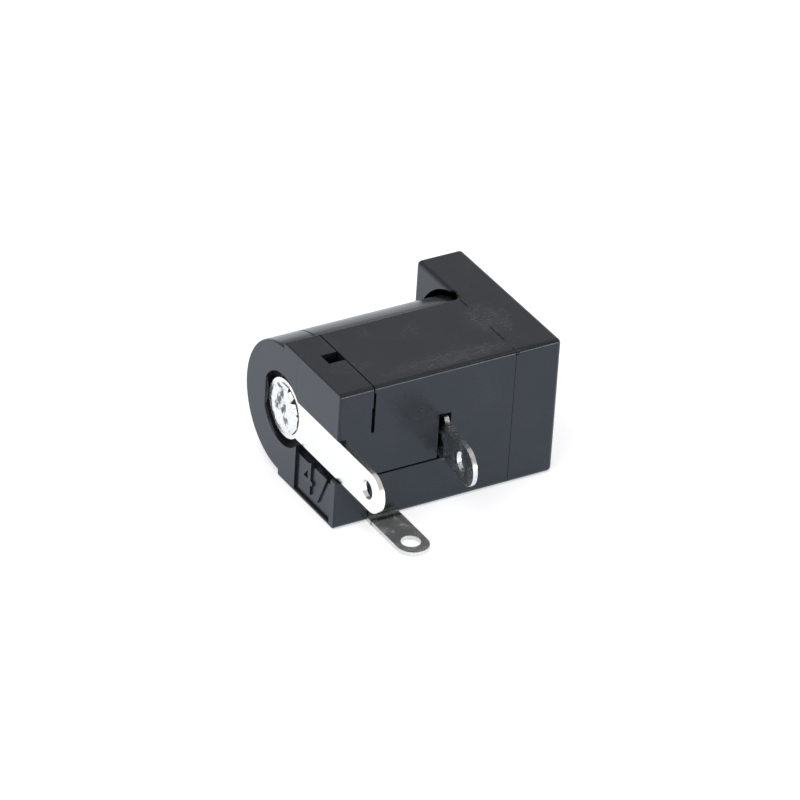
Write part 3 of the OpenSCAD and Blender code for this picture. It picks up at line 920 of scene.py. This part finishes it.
@dataclass
class RivetHead:
    """The rolled-over end of the pin: a dented core in a ring of petals over a near-black disc of
    painted shade.

    Each piece is built to face -Z, and settle_in turns it to face -X.
    """

    axis_y: float
    axis_z: float
    seat_x: float
    inner: float = 0.46 * MM
    outer: float = 1.56 * MM
    thickness: float = 0.18 * MM
    rim: float = 0.07 * MM
    petals: int = 11
    first_deg: float = 88.6
    taper: float = 0.50
    spread: float = 2.00
    open_deg: float = 132.0
    open_narrowing: float = 0.98
    open_power: float = 5.0
    lift: float = 0.003 * MM
    seed: int = 7
    crease_deg: float = 40.0
    core_rings: int = 18
    core_sides: int = 64
    core_overlap: float = 0.10 * MM
    core_rise: float = 0.006 * MM
    core_foot: float = 0.02 * MM
    dents: tuple[Dent, ...] = (
        Dent(-0.05, 0.00, 0.24, 0.090),
        Dent(0.20, 0.36, 0.18, 0.040),
        Dent(0.34, -0.22, 0.20, 0.035),
        Dent(-0.30, 0.28, 0.16, 0.050),
        Dent(-0.26, -0.34, 0.20, 0.040),
    )
    # A thin near-black disc under the petals: painted shade in the splits between them and along the
    # head's edge.
    shade_disc_r: float = 1.58 * MM
    shade_disc_t: float = 0.012 * MM
    shade_disc_sides: int = 96
    shade_disc_shift: Triple = in_mm(-0.05, 0.0, -0.007)

    def build(self, metal: bpy.types.Material, dark: bpy.types.Material) -> None:
        """Builds the three pieces of the head.

        Args:
            metal: the pin's finish.
            dark: the near-black finish of the disc of painted shade under the petals.
        """
        self.settle_in(self.petal_ring(metal))
        self.settle_in(self.core(), metal)
        # The near-black disc of painted shade under the petals.
        self.settle_in(self.shade_disc(), dark)

    def settle_in(self, piece: bpy.types.Object, material: Optional[bpy.types.Material] = None) -> None:
        """Moves a piece from the head's own axes to its place on the pin, and hands it over.

        Args:
            piece: the piece, which faces -Z.
            material: its finish, if it has none yet.
        """
        turn = Matrix(((0, 0, 1), (1, 0, 0), (0, 1, 0))).to_4x4()
        piece.data.transform(Matrix.Translation((self.seat_x, self.axis_y, self.axis_z)) @ turn)
        if material is not None:
            dress(piece, material)
        smooth(piece, self.crease_deg)
        hand_over(piece)

    def petal_ring(self, metal: bpy.types.Material) -> bpy.types.Object:
        """Builds the ring of petals by Geometry Nodes.

        Args:
            metal: the pin's finish.

        Returns:
            The ring as a plain mesh.
        """
        tree = bpy.data.node_groups.new("petal_ring", "GeometryNodeTree")
        tree.interface.new_socket("Geometry", in_out="OUTPUT", socket_type="NodeSocketGeometry")
        inputs: tuple[tuple[str, str, Value], ...] = (
            ("Inner radius", "NodeSocketFloat", self.inner),
            ("Outer radius", "NodeSocketFloat", self.outer),
            ("Thickness", "NodeSocketFloat", self.thickness),
            ("Rim thickness", "NodeSocketFloat", self.rim),
            ("Taper", "NodeSocketFloat", self.taper),
            ("First angle", "NodeSocketFloat", math.radians(self.first_deg)),
            ("Open angle", "NodeSocketFloat", math.radians(self.open_deg)),
            ("Petals", "NodeSocketInt", self.petals),
            ("Seed", "NodeSocketInt", self.seed),
            ("Material", "NodeSocketMaterial", metal),
        )
        keys = [tree.interface.new_socket(name, in_out="INPUT", socket_type=kind).identifier
                for name, kind, _ in inputs]
        self.fill_tree(tree)
        ring = link("rivet_petals", bpy.data.meshes.new("rivet_petals"))
        grown = ring.modifiers.new("petals", "NODES")
        grown.node_group = tree
        for key, (_, _, value) in zip(keys, inputs):
            grown[key] = value
        settle(ring)
        return ring

    def fill_tree(self, tree: bpy.types.GeometryNodeTree) -> None:
        """Writes the nodes that set the petals in a ring, where those at the open angle spread least.

        Args:
            tree: the empty tree with its sockets.
        """
        r = Recipe(tree)
        given = r.add("NodeGroupInput").outputs
        step = r.math("DIVIDE", math.tau, given["Petals"])
        index = r.add("GeometryNodeInputIndex").outputs[0]
        turn = r.math("ADD", given["First angle"], r.math("MULTIPLY", index, step))
        towards = r.math("COSINE", r.math("SUBTRACT", turn, given["Open angle"]))
        facing = r.math("POWER", r.math("MAXIMUM", towards, 0.0), self.open_power)
        spread = r.math("SUBTRACT", self.spread, r.math("MULTIPLY", facing, self.open_narrowing))
        lift = r.add("FunctionNodeRandomValue", {"Min": 0.0, "Max": self.lift, "Seed": given["Seed"]},
                     data_type="FLOAT").outputs[1]
        placed = r.add("GeometryNodeSetPosition", {
            "Geometry": r.add("GeometryNodePoints", {"Count": given["Petals"]}).outputs[0],
            "Offset": r.add("ShaderNodeCombineXYZ", {2: lift}).outputs[0],
        }).outputs[0]
        ring = r.add("GeometryNodeInstanceOnPoints", {
            "Points": placed,
            "Instance": self.petal(r, given, step),
            "Rotation": r.add("ShaderNodeCombineXYZ", {2: turn}).outputs[0],
            "Scale": r.add("ShaderNodeCombineXYZ", {0: 1.0, 1: spread, 2: 1.0}).outputs[0],
        }).outputs[0]
        real = r.add("GeometryNodeRealizeInstances", {"Geometry": ring}).outputs[0]
        dressed = r.add("GeometryNodeSetMaterial", {
            "Geometry": real, "Material": given["Material"]}).outputs[0]
        r.add("NodeGroupOutput", {0: dressed})

    @staticmethod
    def petal(r: Recipe, given: bpy.types.bpy_prop_collection,
              step: bpy.types.NodeSocket) -> bpy.types.NodeSocket:
        """Writes the nodes of one petal: a block bent along an arc, narrower and thinner outwards.

        Args:
            r: the ring's recipe.
            given: the group's inputs.
            step: the angle from one petal to the next.

        Returns:
            The petal's mesh.
        """
        block = r.add("GeometryNodeMeshCube", {
            "Size": (1.0, 1.0, 1.0), "Vertices X": 9, "Vertices Y": 9, "Vertices Z": 3}).outputs[0]
        position = r.add("GeometryNodeInputPosition").outputs[0]
        place = r.add("ShaderNodeSeparateXYZ", {0: position}).outputs
        along = r.math("ADD", place[0], 0.5)
        reach = r.add("ShaderNodeMapRange", {
            0: along, 3: given["Inner radius"], 4: given["Outer radius"]}).outputs[0]
        lost = r.math("MULTIPLY", r.math("POWER", along, 2.0), given["Taper"])
        angle = r.math("MULTIPLY", r.math("MULTIPLY", step, place[1]), r.math("SUBTRACT", 1.0, lost))
        thinning = r.math("SUBTRACT", given["Thickness"], given["Rim thickness"])
        thinned = r.math("MULTIPLY", r.math("POWER", along, 3.0), thinning)
        tall = r.math("SUBTRACT", given["Thickness"], thinned)
        shaped = r.add("ShaderNodeCombineXYZ", {
            0: r.math("MULTIPLY", reach, r.math("COSINE", angle)),
            1: r.math("MULTIPLY", reach, r.math("SINE", angle)),
            2: r.math("MULTIPLY", r.math("SUBTRACT", place[2], 0.5), tall),
        }).outputs[0]
        return r.add("GeometryNodeSetPosition", {"Geometry": block, "Position": shaped}).outputs[0]

    def core_height(self, y: float, z: float) -> float:
        """Returns the height of the core's dented face at one place."""
        sunk = sum(dent.at(y / MM, z / MM) for dent in self.dents)
        return self.thickness + self.core_rise - sunk * MM

    def core(self) -> bpy.types.Object:
        """Builds the core as a dented disc with a short wall around it.

        Returns:
            The core.
        """
        radius = self.inner + self.core_overlap
        work = bmesh.new()
        middle = work.verts.new((0.0, 0.0, -self.core_height(0.0, 0.0)))
        rings = []
        for k in range(1, self.core_rings + 2):
            share = min(k, self.core_rings) / self.core_rings
            ring = []
            for n in range(self.core_sides):
                a = math.tau * n / self.core_sides
                y, z = radius * share * math.cos(a), radius * share * math.sin(a)
                tall = self.core_height(y, z) if k <= self.core_rings else self.core_foot
                ring.append(work.verts.new((y, z, -tall)))
            rings.append(ring)
        for n in range(self.core_sides):
            m = (n + 1) % self.core_sides
            work.faces.new((middle, rings[0][m], rings[0][n]))
            for ring, after in zip(rings, rings[1:]):
                work.faces.new((ring[n], ring[m], after[m], after[n]))
        work.faces.new(rings[-1])
        bmesh.ops.recalc_face_normals(work, faces=work.faces)
        return link_mesh("rivet_core", work)

    def shade_disc(self) -> bpy.types.Object:
        """Builds the disc of painted shade: a thin near-black disc a little off the middle, which makes
        the splits between the petals and a crescent along their edge look shaded.

        Returns:
            The disc of painted shade.
        """
        work = bmesh.new()
        bmesh.ops.create_cone(work, cap_ends=True, segments=self.shade_disc_sides, radius1=self.shade_disc_r,
                              radius2=self.shade_disc_r, depth=self.shade_disc_t)
        bmesh.ops.translate(work, verts=work.verts, vec=self.shade_disc_shift)
        return link_mesh("rivet_shade_disc", work)


@dataclass
class Contacts:
    """The centre pin and the three terminals."""

    edge: float = 0.02 * MM
    stub: float = 0.01 * MM
    pin_finish: PlatedMetal = PlatedMetal(
        name="bright_nickel", colour=(0.97, 0.95, 0.90), stain=(0.50, 0.50, 0.45),
        roughness=0.20, pit=0.13 * MM, pit_share=0.75, dent_depth=0.004 * MM,
        # Painted shade: near-black patches for the shade and dim reflections in the rolled head's
        # hollows.
        painted_shade=(
            Mark(in_mm(-7.28, 3.20, 5.46), in_mm(0.3, 0.26, 0.46)),
            Mark(in_mm(-7.28, 3.46, 4.98), in_mm(0.3, 0.30, 0.44)),
            Mark(in_mm(-7.28, 3.70, 4.50), in_mm(0.3, 0.26, 0.34)),
            Mark(in_mm(-7.28, 3.00, 4.50), in_mm(0.3, 0.34, 0.34)),
            Mark(in_mm(-7.28, 2.80, 4.78), in_mm(0.3, 0.22, 0.36)),
            Mark(in_mm(-7.28, 2.68, 3.98), in_mm(0.3, 0.32, 0.34)),
            Mark(in_mm(-7.28, 3.62, 5.78), in_mm(0.3, 0.52, 0.16)),
        ))
    strip_finish: PlatedMetal = PlatedMetal(
        name="bright_tin", colour=(1.0, 0.965, 0.92), stain=(0.84, 0.81, 0.78),
        roughness=0.24, pit=0.08 * MM, pit_share=0.10, dent_depth=0.001 * MM)
    sleeve_finish: PlatedMetal = PlatedMetal(
        name="dull_tin", colour=(0.78, 0.78, 0.77), stain=(0.30, 0.29, 0.27),
        roughness=0.26, pit=0.07 * MM, pit_share=0.65, dent_depth=0.008 * MM, glint=2.0,
        # Painted shade at the top of the sleeve contact's fold.
        painted_shade=(Mark(in_mm(-0.5, -3.35, 5.55), in_mm(0.6, 0.5, 0.5)),))
    switch_finish: PlatedMetal = PlatedMetal(
        name="grey_tin", colour=(0.80, 0.79, 0.74), stain=(0.36, 0.35, 0.31),
        roughness=0.42, pit=0.07 * MM, pit_share=0.65, dent_depth=0.012 * MM, glint=2.2,
        # A painted shadow along the switch contact's root, by the board side.
        painted_shade=(Mark(in_mm(-4.1, -3.9, 0.3), in_mm(1.8, 0.26, 0.5)),))
    # Near-black finish of the disc under the rivet head: painted shade.
    shade_disc_finish: PlatedMetal = PlatedMetal(
        name="painted_shade_disc", colour=(0.05, 0.05, 0.048), stain=(0.02, 0.02, 0.02),
        roughness=0.50, pit=0.07 * MM, pit_share=0.50, dent_depth=0.001 * MM)

    def build(self) -> None:
        """Dresses the pin and the terminals, and sets the rolled head on the pin."""
        pin_metal = self.pin_finish.build()
        plan = (
            (Node.CENTER_PIN, Slot.PIN, pin_metal),
            (Node.PIN_TERMINAL, Slot.STRIP, self.strip_finish.build()),
            (Node.SLEEVE_CONTACT, Slot.SHEET, self.sleeve_finish.build()),
            (Node.SWITCH_CONTACT, Slot.SHEET, self.switch_finish.build()),
        )
        strip_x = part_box(Node.PIN_TERMINAL.value)[0][0]
        for node, slot, material in plan:
            piece = plain_copy(node, f"{node.value}_plated")
            round_creases(piece, self.edge)
            if node is Node.CENTER_PIN:
                self.cut_head(piece, strip_x + self.stub)
            smooth(piece)
            dress(piece, material)
            hand_over(piece, node)
        pin_low, pin_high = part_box(Node.CENTER_PIN.value)
        middle = 0.5 * (Vector(pin_low) + Vector(pin_high))
        head = RivetHead(axis_y=middle.y, axis_z=middle.z, seat_x=strip_x)
        head.build(pin_metal, self.shade_disc_finish.build())

    @staticmethod
    def cut_head(pin: bpy.types.Object, level: float) -> None:
        """Cuts the plain head off the pin, where the rolled one takes its place.

        Args:
            pin: the pin's piece.
            level: the X that the head ends at.
        """
        work = bmesh.new()
        work.from_mesh(pin.data)
        parts = [*work.verts, *work.edges, *work.faces]
        bmesh.ops.bisect_plane(work, geom=parts, dist=WELD, plane_co=(level, 0.0, 0.0),
                               plane_no=(-1.0, 0.0, 0.0), clear_outer=True)
        bmesh.ops.holes_fill(work, edges=[e for e in work.edges if e.is_boundary])
        work.to_mesh(pin.data)
        work.free()


# ---- Studio ------------------------------------------------------------------------------------


@dataclass
class Studio:
    """The table, the soft surroundings and the lamps.

    A band gives the upward shares of a ray between which one tone turns into the next.
    """

    table_radius: float = 1.2
    table_sides: int = 96
    table_gap: float = 0.01 * MM
    finish: TableTop = field(default_factory=TableTop)
    horizon: Colour = (1.3, 1.32, 1.36)
    upper: Colour = (0.52, 0.515, 0.535)
    zenith: Colour = (0.9, 0.9, 0.92)
    low_band: tuple[float, float] = (0.12, 0.34)
    top_band: tuple[float, float] = (0.90, 0.98)
    lamp_power: float = 0.55
    lamp_size: tuple[float, float] = (0.30, 0.30)
    lamp_spot: Triple = (-0.28, -0.10, 0.42)
    strip_power: float = 0.5
    strip_size: tuple[float, float] = (0.30, 0.07)
    strip_spot: Triple = (0.24, -0.42, 0.12)

    def build(self) -> None:
        """Builds the surroundings."""
        self.lay_table()
        self.surround()
        self.hang_lamp("softbox", self.lamp_spot, self.lamp_power, self.lamp_size)
        self.hang_lamp("strip_light", self.strip_spot, self.strip_power, self.strip_size)

    def lay_table(self) -> None:
        """Lays a round table top just under the part."""
        work = bmesh.new()
        bmesh.ops.create_circle(work, cap_ends=True, segments=self.table_sides,
                                radius=self.table_radius)
        bmesh.ops.translate(work, verts=work.verts,
                            vec=(0.0, 0.0, CAD_BOX[0][2] - self.table_gap))
        table = link_mesh("table", work)
        dress(table, self.finish.build())

    def surround(self) -> None:
        """Lights the scene softly, and shows a white backdrop to the camera."""
        world = bpy.data.worlds.new("soft_room")
        world.use_nodes = True
        bpy.context.scene.world = world
        r = Recipe(world.node_tree)
        ray = r.add("ShaderNodeSeparateXYZ", {0: r.add("ShaderNodeTexCoord").outputs["Generated"]})
        up = ray.outputs[2]
        side = r.mix(r.span(up, *self.low_band), self.horizon, self.upper)
        tone = r.mix(r.span(up, *self.top_band), side, self.zenith)
        path = r.add("ShaderNodeLightPath")
        colour = r.mix(path.outputs["Is Camera Ray"], tone, WHITE)
        light = r.add("ShaderNodeBackground", {"Color": colour, "Strength": 1.0})
        r.add("ShaderNodeOutputWorld", {"Surface": light.outputs[0]})

    def hang_lamp(self, name: str, spot: Triple, power: float, size: tuple[float, float]) -> None:
        """Hangs one wide soft lamp that faces the part.

        Args:
            name: the lamp's name.
            spot: where it hangs.
            power: its power, in watts.
            size: its width and its height.
        """
        data = bpy.data.lights.new(name, "AREA")
        data.shape = "RECTANGLE"
        data.size, data.size_y = size
        data.energy = power
        lamp = link(name, data)
        lamp.location = spot
        lamp.rotation_euler = (-Vector(spot)).to_track_quat("-Z", "Y").to_euler()


@dataclass
class Camera:
    """A long lens that looks down on the rear and the board side."""

    lens_mm: float = 261.4
    sensor_mm: float = 36.0
    azimuth_deg: float = -32.1373
    elevation_deg: float = 31.7182
    roll_deg: float = -3.6797
    distance: float = 336.34 * MM
    nearest: float = 0.01
    aim: Triple = in_mm(-0.379, 1.392, 4.221)

    def build(self) -> None:
        """Adds the camera and makes it the scene's own."""
        azimuth = math.radians(self.azimuth_deg)
        elevation = math.radians(self.elevation_deg)
        roll = math.radians(self.roll_deg)
        ahead = Vector((
            -math.sin(azimuth) * math.cos(elevation),
            math.cos(azimuth) * math.cos(elevation),
            -math.sin(elevation),
        ))
        level = ahead.cross(Vector((0.0, 0.0, 1.0))).normalized()
        upright = level.cross(ahead)
        right = level * math.cos(roll) - upright * math.sin(roll)
        above = right.cross(ahead)
        data = bpy.data.cameras.new("camera")
        data.lens = self.lens_mm
        data.sensor_width = self.sensor_mm
        data.clip_start = self.nearest
        camera = link("camera", data)
        turn = Matrix((right, above, -ahead)).transposed().to_4x4()
        camera.matrix_world = Matrix.Translation(Vector(self.aim) - ahead * self.distance) @ turn
        bpy.context.scene.camera = camera


def main() -> None:
    """Builds the jack and its studio in order."""
    logging.basicConfig(level=logging.INFO)
    bpy.context.scene.view_settings.view_transform = "Standard"
    for assembly in (Mouldings(), Contacts(), Studio(), Camera()):
        assembly.build()
        LOG.info("%s done", type(assembly).__name__)


if __name__ == "__main__":
    main()
